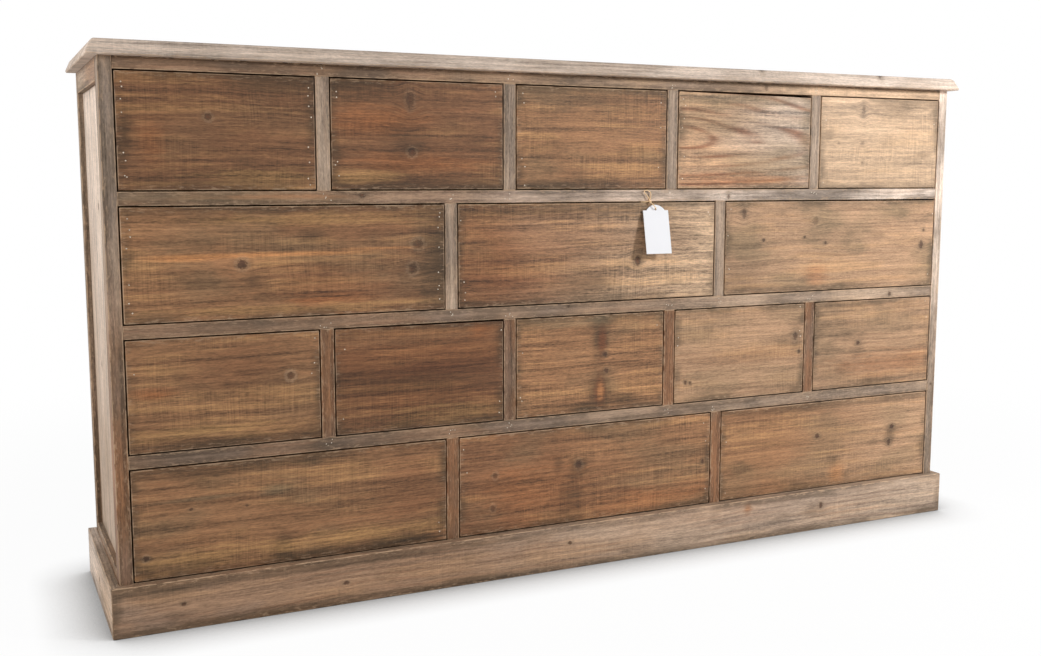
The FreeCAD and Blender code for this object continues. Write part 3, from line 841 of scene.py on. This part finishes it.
class CHEST_OT_frame(Operator):
    """Make the posts, rails and muntins of the face frame"""
    bl_idname = "chest.frame"
    bl_label = "Face frame"

    rail_seed, post_seed, muntin_seed = 41, 51, 60

    def execute(self, context):
        ease = context.scene.chest_boards.frame_ease
        shared = dict(spacing=6, rings=0.4, veil=0.5, saw=0.35, gold=0.1, haze="slate", streaks=0.8)
        rails = {
            # rail_top's wide dark band along its upper edge, in the knot tone, is painted shadow under the
            # top's overhang
            "rail_top": Look("frame", "straw", [Knot(0.73, 0.5, 4, 5, 0.6, 0.3, 0.1)],
                             [Patch(0.5, 0.0, 3.0, 0.2, "knot", 0.95, 0.05)], **shared),
            "rail_upper": Look(
                "frame", "side", [Knot(0.235, 0.3, 5, 5, 0.8, 0.3, 0.9), Knot(0.68, 0.6, 3, 5, 0.7)],
                [Patch(0.88, 0.4, 0.05, 0.5, "umber", 0.4), Patch(0.1, 0.5, 0.12, 0.4, "ash", 0.6),
                 Patch(0.16, 0.4, 0.08, 0.2, "amber", 0.35)], **shared),
            "rail_middle": Look("frame", "pale", [Knot(0.47, 0.2, 3, 3), Knot(0.93, 0.6, 4, 4, 0.9)],
                                **shared),
            "rail_lower": Look("frame", "pale", level=0.88, **shared),
            "rail_bottom": Look("frame", "pale", level=0.88, **shared),
        }
        for seed, (node, look) in enumerate(rails.items(), self.rail_seed):
            dressed(node, "x", "z", look, ease, seed)
        shared = dict(spacing=7, rings=0.45, saw=0.2, gold=0.1, haze="slate")
        stains = [Patch(0.93, 0.5, 0.05, 0.6, "slate", 0.6), Patch(0.75, 0.4, 0.05, 0.4, "slate", 0.7),
                  Patch(0.4, 0.2, 0.2, 0.3, "umber", 0.5)]
        posts = {
            "post_front_left": Look("walnut", "mist", [], stains, level=0.95, **shared),
            "post_front_right": Look("mist", "side", [Knot(0.31, 0.5, 2, 3)], **shared),
        }
        for seed, (node, look) in enumerate(posts.items(), self.post_seed):
            dressed(node, "z", "x", look, ease, seed)
        for row, count in enumerate(ROWS, 1):
            wood = "mist" if row < 3 else "walnut"
            look = Look(wood, spacing=6, rings=0.4, veil=0.4, saw=0.2, dirt=0.6, gold=0.1, haze="slate")
            dressed(f"muntins_row_{row}", "z", "x", look, ease, self.muntin_seed + row,
                    count - 1)
        return {"FINISHED"}


class CHEST_OT_top(Operator):
    """Make the two planks of the top with their chamfered outer edges"""
    bl_idname = "chest.top"
    bl_label = "Top"

    chamfer, front_reach = 0.012, 0.05
    seeds = (71, 73)

    def execute(self, context):
        ease = context.scene.chest_boards.plank_ease
        front, half, top = CAD_BOX[0][1], CAD_BOX[1][0], CAD_BOX[1][2]

        def chamfered(points, outer):
            """Points near the top are drawn in towards the middle by how far they are into the chamfer:
            at both ends and, on the outer plank, at the front."""
            inset = np.clip(points[:, 2] - (top - self.chamfer), 0, self.chamfer)
            moved = points.copy()
            moved[:, 0] = points[:, 0] * (1 - inset / half)
            if outer:
                share = np.clip((self.front_reach - (points[:, 1] - front)) / self.front_reach, 0, 1)
                moved[:, 1] = points[:, 1] + inset * share
            return moved

        shared = dict(spacing=12, rings=0.3, gold=0.1, dirt=0.4, haze="mist", streaks=0.8)
        looks = {
            "top_plank_front": Look("side", knots=[Knot(0.06, 0.2, 7, 5), Knot(0.36, 0.6, 6, 5),
                                                   Knot(0.71, 0.93, 5, 5), Knot(0.88, 0.93, 6, 6)],
                                    veil=0.3, saw=0.25, level=0.92, **shared),
            "top_plank_back": Look("side", knots=[Knot(0.2, 0.4, 7, 6), Knot(0.55, 0.7, 6, 5)],
                                   veil=0.35, level=0.88, **shared),
        }
        for seed, outer, (node, look) in zip(self.seeds, (True, False), looks.items()):
            dressed(node, "x", "y", look, ease, seed,
                    bend=lambda points, outer=outer: chamfered(points, outer))
        return {"FINISHED"}


class CHEST_OT_plinth(Operator):
    """Make the plinth: three boards round the foot, mitred at the front corners"""
    bl_idname = "chest.plinth"
    bl_label = "Plinth"

    front_seed, side_seed = 81, 83

    def execute(self, context):
        ease = context.scene.chest_boards.plank_ease
        low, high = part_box("plinth_front")
        thick, half, back = high.y - low.y, high.x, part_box("plinth_left")[1].y

        def mitred(points):
            """The front board's ends draw in from the face to the back by as much as the board is thick."""
            moved = points.copy()
            moved[:, 0] = points[:, 0] * (1 - (points[:, 1] - low.y) / half)
            return moved

        def mitred_side(points):
            """A side board's front end goes back from its outer face to its inner one by its thickness."""
            moved = points.copy()
            inner = np.clip(half - np.abs(points[:, 0]), 0, thick)
            moved[:, 1] = back - (back - points[:, 1]) * (1 - inner / (back - low.y))
            return moved

        knots = [Knot(0.064, 0.48, 4, 3, 1.0, 0.2, 0.3), Knot(0.22, 0.55, 5, 3, 1.0, 0.3, 0.3),
                 Knot(0.47, 0.4, 4, 3), Knot(0.81, 0.38, 4, 6)]
        patches = [Patch(0.703, 0.2, 0.006, 0.14, "walnut", 0.8, 0.5),
                   Patch(0.2, 0.12, 0.3, 0.1, "umber", 0.5, 0.9),
                   Patch(0.15, 0.93, 0.2, 0.1, "umber", 0.55, 0.9),
                   Patch(0.05, 0.2, 0.03, 0.15, "umber", 0.4),
                   Patch(0.6, 0.95, 0.4, 0.08, "umber", 0.4, 0.9)]
        look = Look("frame", "mist", knots, patches, spacing=9, rings=0.45, veil=0.3, saw=0.35, gold=0.15,
                    level=1.15, haze="slate", streaks=0.85)
        dressed("plinth_front", "x", "z", look, ease, self.front_seed, bend=mitred)
        for seed, node in enumerate(("plinth_left", "plinth_right"), self.side_seed):
            look = Look("pale", "side", [Knot(0.5, 0.5, 5, 5)], spacing=9, rings=0.4, veil=0.3, gold=0.1)
            dressed(node, "y", "z", look, ease, seed, bend=mitred_side)
        return {"FINISHED"}


class CHEST_OT_sides(Operator):
    """Make the framed side walls: panels, side rails and back posts"""
    bl_idname = "chest.sides"
    bl_label = "Side walls"

    panel_seed, post_shift, rails_shift = 91, 4, 8

    def execute(self, context):
        ease = context.scene.chest_boards.frame_ease
        for seed, side in enumerate(("left", "right"), self.panel_seed):
            panel = Look("mist", "side", [Knot(0.4, 0.4, 6, 5), Knot(0.75, 0.6, 5, 5)], spacing=10, rings=0.3,
                         veil=0.2, saw=0.2, gold=0.05, dirt=0.5)
            dressed(f"side_panel_{side}", "z", "y", panel, ease, seed)
            surround = Look("frame", "mist", spacing=8, rings=0.3, veil=0.3, gold=0.1)
            dressed(f"post_back_{side}", "z", "y", surround, ease, seed + self.post_shift)
            dressed(f"side_rails_{side}", "y", "z", surround, ease, seed + self.rails_shift, 2)
        return {"FINISHED"}


class CHEST_OT_inside(Operator):
    """Give the drawer boxes, runners, guides and back their plain unfinished pine"""
    bl_idname = "chest.inside"
    bl_label = "Inside and back"

    plain_seed, plain_roughness = 7.0, 0.7
    back_seed, back_count, back_gap = 97, 9, 0.001

    def execute(self, context):
        look = Look("inner", spacing=9, rings=0.35, veil=0.1, saw=0.2, gold=0.1, dirt=0.25, streaks=0.5,
                    wear=0.0)
        low, high = CAD_BOX
        along_x, along_y = (pine(f"plain_along_{along}", look, low, sized(low, high, along, across), along,
                                 across, self.plain_seed, self.plain_roughness)
                            for along, across in (("x", "z"), ("y", "x")))
        back = Look("inner", spacing=10, rings=0.4, veil=0.15, saw=0.3, gold=0.2, dirt=0.7, streaks=0.7,
                    wear=0.3)
        dressed("back_boards", "z", "x", back, context.scene.chest_boards.frame_ease, self.back_seed,
                self.back_count, gap=self.back_gap)
        finishes = {"back_rails": along_x, "drawer_runners": along_y, "drawer_guides": along_y}
        finishes.update({f"drawer_{row}_{column}_box": along_y for row, column in DRAWERS})
        for node, material in finishes.items():
            refinished(node, material)
        return {"FINISHED"}


class CHEST_OT_tag(Operator):
    """Make the tag's card and its two-ply twine with a knot"""
    bl_idname = "chest.tag"
    bl_label = "Tag and twine"

    route = ((0, -1.9, -8.8), (0, -6.6, -7.9), (-4.5, -5.6, -2.6), (-12.4, -4.1, 5.8), (-19.5, -3.2, 18.5),
             (-27.2, -2.6, 24.4), (-25.2, -2.2, 28.9), (-17.8, -2.0, 29.0), (-12.3, -2.2, 25.4),
             (-10.8, -2.4, 20), (-13.4, -1.3, 6.9), (-22, -1.4, 5.85), (-31.5, 2.2, 5.75))
    tag_drop, tag_stand_off = 0.007, 0.0004
    knot_at, knot_shift, knot_size, knot_radius = 3, (0, 0.0008, 0), 0.0015, 0.0009

    def centreline(self, start):
        """Points of the route's smooth NURBS line, as Blender gives them for a curve with no bevel."""
        curve = bpy.data.curves.new("twine_route", "CURVE")
        curve.dimensions = "3D"
        spline = curve.splines.new("NURBS")
        spline.points.add(len(self.route) - 1)
        places = np.ones((len(self.route), 4))
        places[:, :3] = start + np.array(self.route) / 1000
        spline.points.foreach_set("co", places.ravel())
        spline.order_u = 3
        spline.use_endpoint_u = True
        spline.resolution_u = 14
        holder = bpy.data.objects.new("twine_route", curve)
        mesh = bpy.data.meshes.new_from_object(holder)
        points = np.empty(len(mesh.vertices) * 3)
        mesh.vertices.foreach_get("co", points)
        bpy.data.objects.remove(holder)
        return points.reshape(-1, 3)

    def execute(self, context):
        details = context.scene.chest_details
        low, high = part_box("swing_tag")
        opening_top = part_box("rail_upper")[0].z
        start = np.array(((low.x + high.x) / 2, FACE_Y - self.tag_stand_off, opening_top - self.tag_drop))
        line = self.centreline(start)
        material = jute()
        twine = piece("twine", twisted(line, details.twine_diameter, details.twine_pitch), material, TAG_BODY,
                      ["tag_twine"], True)
        knot_place = start + np.array(self.route[self.knot_at]) / 1000 + np.array(self.knot_shift)
        knot = piece("twine_knot", trefoil(knot_place, self.knot_size, self.knot_radius), material, TAG_BODY,
                     smooth=True)
        refinished("swing_tag", card_stock(low, high))
        return {"FINISHED"}


class CHEST_OT_pins(Operator):
    """Scatter the small pins that hold the fronts to their boxes and the frame's joints together"""
    bl_idname = "chest.pins"
    bl_label = "Pins"

    inset, cluster_heights = 0.011, (0.09, 0.16, 0.24, 0.33, 0.64, 0.73, 0.85, 0.92)
    height_scatter, side_scatter, usual_share = 0.025, 0.003, 0.25
    below_row, above_row, per_joint = 0.010, 0.009, 4
    joint_scatter, joint_limit, joint_scale = 0.0045, 0.006, 0.8
    front_dice, joint_dice = 900, 77

    def execute(self, context):
        details = context.scene.chest_details
        material = pin_metal()
        for row, column in DRAWERS:
            low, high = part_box(f"drawer_{row}_{column}_front")
            dice = np.random.default_rng(self.front_dice + 10 * row + column)
            places = []
            for x in (low.x + self.inset, high.x - self.inset):
                heights = np.array(self.cluster_heights)
                heights = heights + dice.normal(0, self.height_scatter, len(heights))
                keep = dice.random(len(heights)) < PIN_SHARES.get((row, column), self.usual_share)
                xs = x + dice.normal(0, self.side_scatter, len(heights))
                zs = low.z + heights * (high.z - low.z)
                places.append(np.stack((xs, np.full(len(xs), low.y), zs), 1)[keep])
            shape = pin_heads(np.concatenate(places), details.pin_radius, details.pin_rise)
            piece(f"pins_{row}_{column}", shape, material, f"drawer_{row}_{column}", smooth=True)
        places = []
        dice = np.random.default_rng(self.joint_dice)
        plinth_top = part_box("plinth_left")[1].z
        for row, count in enumerate(ROWS, 1):
            for low, high in node_boards(f"muntins_row_{row}", "x", count - 1):
                for z in (low[2] - self.below_row, high[2] + self.above_row):
                    if z < plinth_top:
                        continue
                    spread = dice.normal(0, self.joint_scatter, (self.per_joint, 2))
                    spread[:, 1] = np.clip(spread[:, 1], -self.joint_limit, self.joint_limit)
                    places.append(np.stack(((low[0] + high[0]) / 2 + spread[:, 0],
                                            np.full(self.per_joint, FACE_Y), z + spread[:, 1]), 1))
        shape = pin_heads(np.concatenate(places), details.pin_radius * self.joint_scale,
                          details.pin_rise * self.joint_scale)
        piece("pins_frame", shape, material, "carcass", smooth=True)
        return {"FINISHED"}


class CHEST_OT_stage(Operator):
    """Set the plain pale floor, the soft lamps and the white surroundings"""
    bl_idname = "chest.stage"
    bl_label = "Stage"

    key_place, key_aim, key_size = (2.3, -1.9, 1.7), (0.2, -0.2, 0.5), 0.5
    fill_place, fill_aim, fill_size = (-3.3, -0.7, 1.5), (-0.8, 0.0, 0.5), 1.8
    floor_glow, floor_fade, floor_reach = 0.95, (1.0, 2.6), 14.0
    # painted contact shade on the floor: how far it reaches, how sharply it falls off, and its dark tint
    contact_reach, contact_power, contact_dark = 0.12, 2.2, (0.12, 0.12, 0.12)

    def lamp(self, context, name, place, aim, size, power):
        data = bpy.data.lights.new(name, "AREA")
        data.shape = "DISK"
        data.size = size
        data.energy = power
        lamp = bpy.data.objects.new(name, data)
        lamp.rotation_euler = (Vector(aim) - Vector(place)).to_track_quat("-Z", "Y").to_euler()
        lamp.location = place
        context.scene.collection.objects.link(lamp)

    def floor_finish(self, stage):
        """A pale diffuse floor that is plain white to the camera away from the chest; near the chest an
        Ambient
        Occlusion node paints contact shade into both its colour and its white glow."""
        shader = Shader("floor")
        far = shader.smooth(shader.add("ShaderNodeVectorMath", {"operation": "LENGTH"},
                                       {0: shader.object_point()}, "Value"), *self.floor_fade)
        # painted contact shade: Ambient Occlusion darkens the floor's colour and its glow close to the chest
        near = shader.add("ShaderNodeAmbientOcclusion", {"samples": 8},
                          {"Distance": self.contact_reach}, "AO") ** self.contact_power
        tint = shader.mix(self.contact_dark, (*stage.floor,), near)
        plain = shader.add("ShaderNodeBsdfDiffuse", inputs={"Color": tint})
        white = shader.add("ShaderNodeEmission", inputs={"Color": WHITE, "Strength": 1.0})
        share = shader.seen() * near * (self.floor_glow + far * (1 - self.floor_glow))
        blend = shader.add("ShaderNodeMixShader", inputs={0: share, 1: plain, 2: white})
        shader.add("ShaderNodeOutputMaterial", inputs={"Surface": blend})
        return shader.owner

    def execute(self, context):
        stage = context.scene.chest_stage
        context.scene.view_settings.view_transform = "Standard"
        self.lamp(context, "key", self.key_place, self.key_aim, self.key_size, stage.key_power)
        self.lamp(context, "fill", self.fill_place, self.fill_aim, self.fill_size, stage.fill_power)

        world = Shader("surroundings", "worlds")
        level = world.add("ShaderNodeMapRange", inputs={"Value": world.seen(), "To Min": stage.world_level,
                                                        "To Max": 1.0})
        background = world.add("ShaderNodeBackground", inputs={"Color": WHITE, "Strength": level})
        world.add("ShaderNodeOutputWorld", inputs={"Surface": background})
        context.scene.world = world.owner

        reach = self.floor_reach
        mesh = bpy.data.meshes.new("floor")
        corners = [(-reach, -reach, 0), (reach, -reach, 0), (reach, reach, 0), (-reach, reach, 0)]
        mesh.from_pydata(corners, [], [(0, 1, 2, 3)])
        mesh.materials.append(self.floor_finish(stage))
        floor = bpy.data.objects.new("floor", mesh)
        context.scene.collection.objects.link(floor)
        return {"FINISHED"}


OPERATORS = (CHEST_OT_camera, CHEST_OT_tag, CHEST_OT_fronts, CHEST_OT_frame, CHEST_OT_top, CHEST_OT_plinth,
             CHEST_OT_sides, CHEST_OT_inside, CHEST_OT_pins, CHEST_OT_stage)


class CHEST_PT_panel(Panel):
    """Lists the chest's pieces and their settings"""
    bl_idname = "CHEST_PT_panel"
    bl_label = "Drawer chest"
    bl_space_type = "VIEW_3D"
    bl_region_type = "UI"
    bl_category = "Drawer chest"

    def draw(self, context):
        for operator in OPERATORS:
            self.layout.operator(operator.bl_idname)
        for group in GROUPS:
            box = self.layout.box()
            settings = getattr(context.scene, group)
            for name in settings.__annotations__:
                box.prop(settings, name)


GROUPS = {"chest_boards": ChestBoards, "chest_tones": ChestTones, "chest_details": ChestDetails,
          "chest_stage": ChestStage}


def register():
    for cls in (*GROUPS.values(), *OPERATORS, CHEST_PT_panel):
        bpy.utils.register_class(cls)
    for name, group in GROUPS.items():
        setattr(bpy.types.Scene, name, PointerProperty(type=group))


def unregister():
    for name in GROUPS:
        delattr(bpy.types.Scene, name)
    for cls in reversed((*GROUPS.values(), *OPERATORS, CHEST_PT_panel)):
        bpy.utils.unregister_class(cls)


def main():
    register()
    for operator in OPERATORS:
        family, name = operator.bl_idname.split(".")
        getattr(getattr(bpy.ops, family), name)()


if __name__ == "__main__":
    main()
